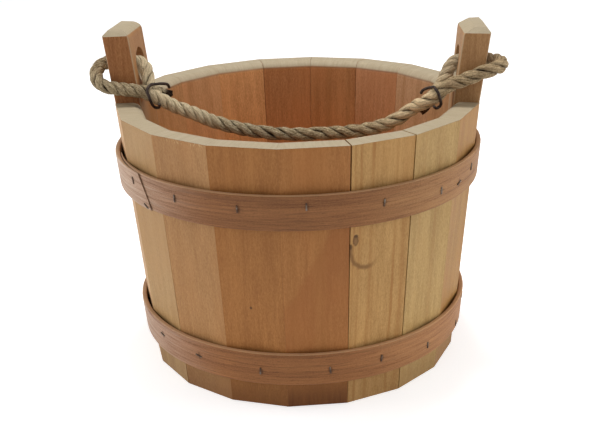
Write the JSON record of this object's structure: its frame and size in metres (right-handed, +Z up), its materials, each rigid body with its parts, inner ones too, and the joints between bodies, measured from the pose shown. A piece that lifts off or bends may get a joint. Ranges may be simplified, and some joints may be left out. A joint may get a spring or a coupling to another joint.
{
  "type": "well bucket",
  "caption": "Coopered wooden well bucket with two bent-wood hoops and a rope handle tied through its ears.",
  "frame": {"origin": "on the floor, under the centre of the ring of staves", "axes": "+Z up; +X towards the right ear, as seen in the picture; the side that the picture shows faces -Y"},
  "size_m": [0.342, 0.308, 0.28],
  "materials": {
    "stave_wood": "planed, thin clear oil",
    "bottom_wood": "planed, thin clear oil",
    "hoop_wood": "split and shaved, satin",
    "rope_fibre": "three-strand laid fibre, matt",
    "dark_wire": "blackened"
  },
  "bodies": {
    "bucket": {"left_ear_stave": "stave_wood", "right_ear_stave": "stave_wood", "stave_01": "stave_wood", "stave_02": "stave_wood", "stave_03": "stave_wood", "stave_04": "stave_wood", "stave_05": "stave_wood", "stave_06": "stave_wood", "stave_07": "stave_wood", "stave_08": "stave_wood", "stave_09": "stave_wood", "stave_10": "stave_wood", "stave_11": "stave_wood", "stave_12": "stave_wood", "stave_13": "stave_wood", "stave_14": "stave_wood", "stave_15": "stave_wood", "stave_16": "stave_wood", "bottom_board_1": "bottom_wood", "bottom_board_2": "bottom_wood", "bottom_board_3": "bottom_wood", "upper_hoop": "hoop_wood", "lower_hoop": "hoop_wood", "rope_loop_left": "rope_fibre", "rope_loop_right": "rope_fibre", "wire_ring_left": "dark_wire", "wire_ring_right": "dark_wire"},
    "handle": {"rope_span": "rope_fibre"}
  },
  "joints": [
    {"name": "handle_swing", "type": "hinge", "parent": "bucket", "child": "handle", "pos_m": [0, -0.025, 0.2162], "axis": [1, 0, 0], "range_deg": [-180, 180]}
  ]
}
